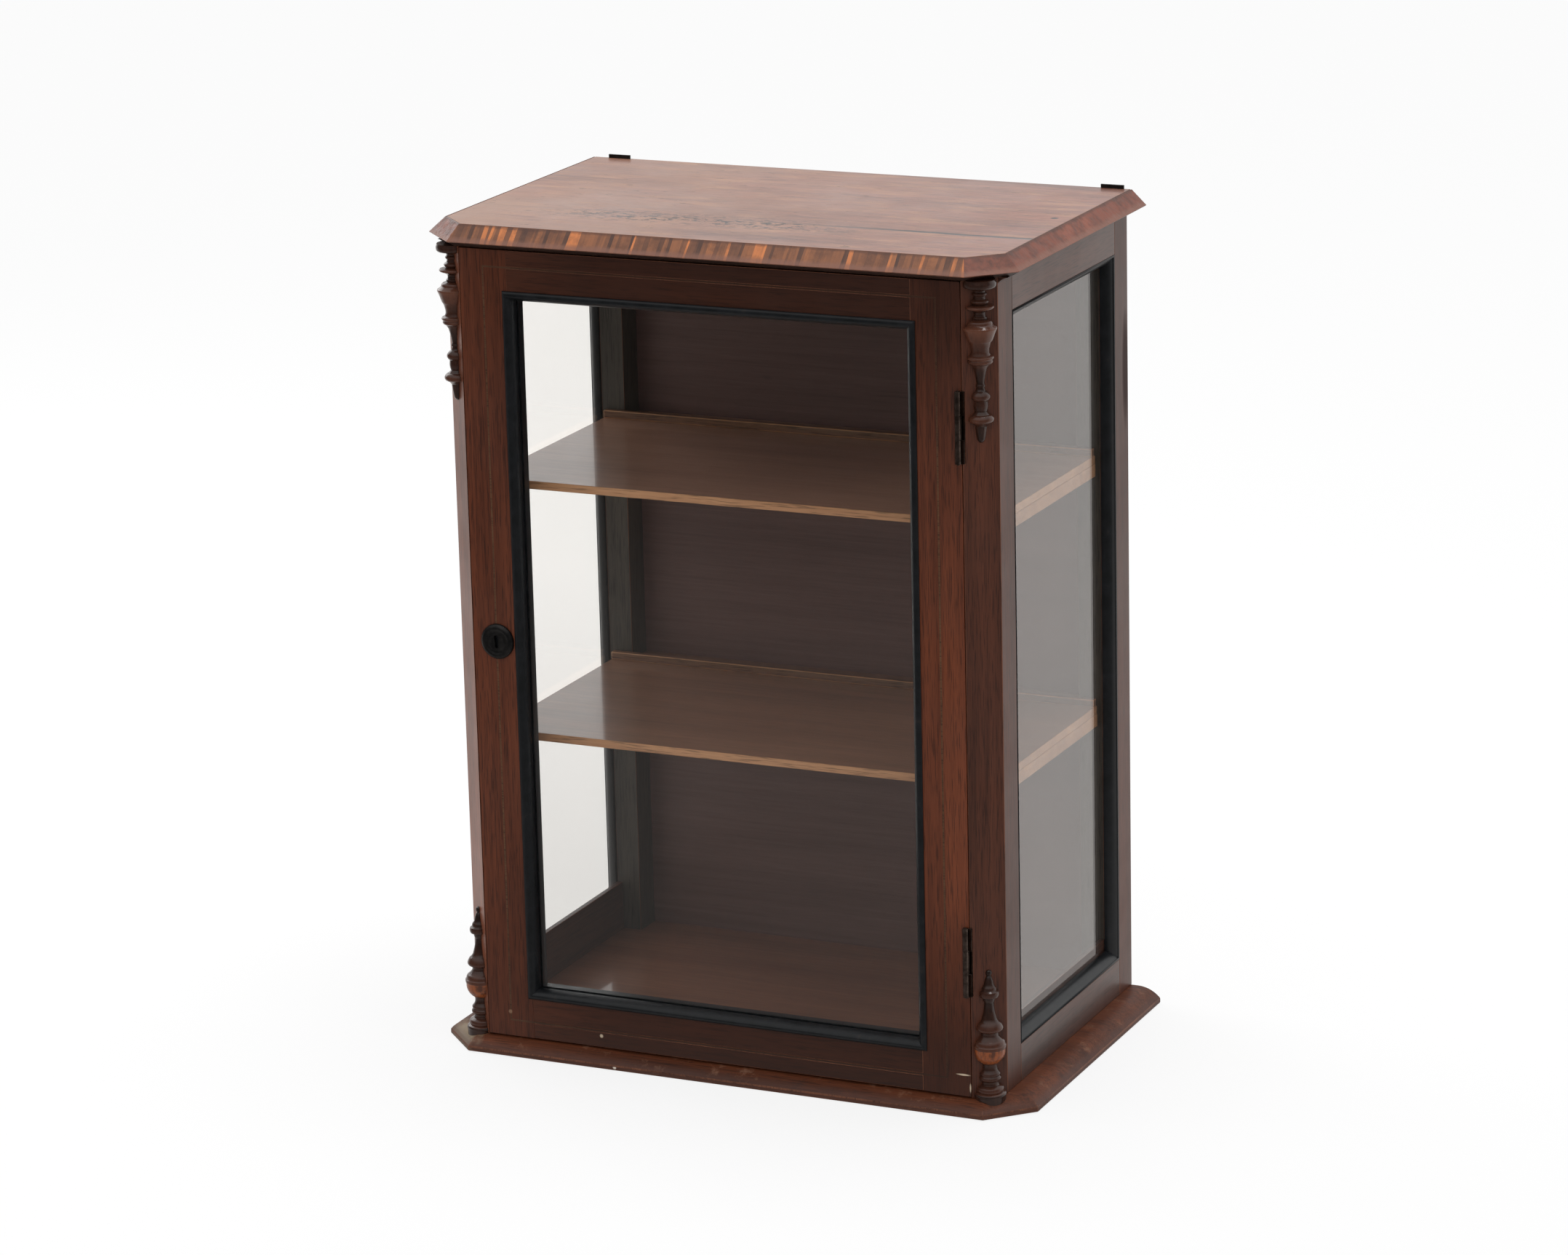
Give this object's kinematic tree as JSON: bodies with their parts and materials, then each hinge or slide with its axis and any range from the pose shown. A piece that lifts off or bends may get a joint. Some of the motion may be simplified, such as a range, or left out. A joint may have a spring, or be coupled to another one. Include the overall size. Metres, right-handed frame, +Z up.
{
  "type": "glazed display cabinet",
  "caption": "Upright glazed display cabinet with canted front corners, half-round turnings, moulded base and top, one hinged glass door with a lock, glass sides and shelves inside.",
  "frame": {"origin": "middle of the underside of the base, halfway between its front and rear edges", "axes": "+X to the right as seen from the front, -Y to the front, +Z up"},
  "size_m": [0.586, 0.347, 0.7734],
  "materials": {
    "mahogany": "polished",
    "top_veneer": "polished, worn",
    "cross_banding": "polished cross-grain",
    "ebonised_wood": "satin black",
    "pale_stringing": "polished",
    "back_boards": "dull stain",
    "shelf_wood": "satin",
    "clear_glass": "clear",
    "hinge_brass": "aged",
    "blackened_iron": "blackened",
    "lock_steel": "dull"
  },
  "bodies": {
    "case": {"back_board_lower": "back_boards", "back_board_middle": "back_boards", "back_board_upper": "back_boards", "base_plate": "mahogany", "bevel_veneers": "top_veneer", "case_floor": "shelf_wood", "cornice_coves": "mahogany", "door_stop": "mahogany", "front_bevel_banding": "cross_banding", "hanger_screws": "blackened_iron", "hinge_post_screws": "hinge_brass", "left_bottom_rail": "mahogany", "left_front_post": "mahogany", "left_hanger_plate": "blackened_iron", "left_rear_post": "mahogany", "left_side_glass": "clear_glass", "left_side_moulding": "ebonised_wood", "left_top_rail": "mahogany", "lower_hinge_pin": "hinge_brass", "lower_hinge_post_leaf": "hinge_brass", "lower_left_cleat": "shelf_wood", "lower_left_finial": "mahogany", "lower_plate_strip": "shelf_wood", "lower_right_cleat": "shelf_wood", "lower_right_finial": "mahogany", "lower_shelf": "shelf_wood", "right_bottom_rail": "mahogany", "right_front_post": "mahogany", "right_hanger_plate": "blackened_iron", "right_rear_post": "mahogany", "right_side_glass": "clear_glass", "right_side_moulding": "ebonised_wood", "right_top_rail": "mahogany", "strike_plate": "lock_steel", "strike_screws": "lock_steel", "top_board": "top_veneer", "upper_hinge_pin": "hinge_brass", "upper_hinge_post_leaf": "hinge_brass", "upper_left_cleat": "shelf_wood", "upper_left_drop": "mahogany", "upper_plate_strip": "shelf_wood", "upper_right_cleat": "shelf_wood", "upper_right_drop": "mahogany", "upper_shelf": "shelf_wood"},
    "door": {"door_bottom_rail": "mahogany", "door_glass": "clear_glass", "door_glazing_beads": "mahogany", "door_hinge_stile": "mahogany", "door_lock_stile": "mahogany", "door_moulding": "ebonised_wood", "door_stringing": "pale_stringing", "door_top_rail": "mahogany", "escutcheon": "blackened_iron", "hinge_door_screws": "hinge_brass", "lock_case": "lock_steel", "lock_screws": "lock_steel", "lower_hinge_door_leaf": "hinge_brass", "upper_hinge_door_leaf": "hinge_brass"},
    "bolt": {"lock_bolt": "lock_steel"}
  },
  "joints": [
    {"name": "door_hinge", "type": "hinge", "parent": "case", "child": "door", "pos_m": [0.2364, -0.1618, 0.382], "axis": [0, 0, 1], "range_deg": [0, 150]},
    {"name": "bolt_slide", "type": "slide", "parent": "door", "child": "bolt", "axis": [-1, 0, 0], "range_m": [0, 0.007]}
  ]
}
